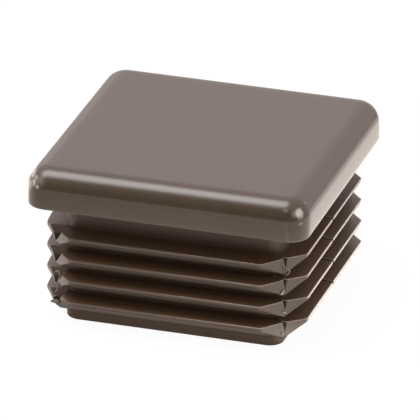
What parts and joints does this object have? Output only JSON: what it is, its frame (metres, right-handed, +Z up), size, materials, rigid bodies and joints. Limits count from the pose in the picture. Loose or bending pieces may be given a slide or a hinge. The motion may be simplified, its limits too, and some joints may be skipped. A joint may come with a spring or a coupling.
{
  "type": "square tube end plug",
  "caption": "Square plastic end plug: a rounded flat head closes the end of a square tube, and a hollow ribbed core grips its bore.",
  "frame": {"origin": "middle of the core's lower rim, in the plane that the plug stands on", "axes": "+Z up out of the tube, towards the head's flat top; X and Y along the head's straight sides, with the slit sides of the lips facing +X and -X"},
  "size_m": [0.04, 0.04, 0.0235],
  "materials": {
    "moulded_plastic": "satin dark brown-black polyethylene, straight from the mould"
  },
  "bodies": {
    "root": {"end_plug": "moulded_plastic"}
  },
  "joints": []
}
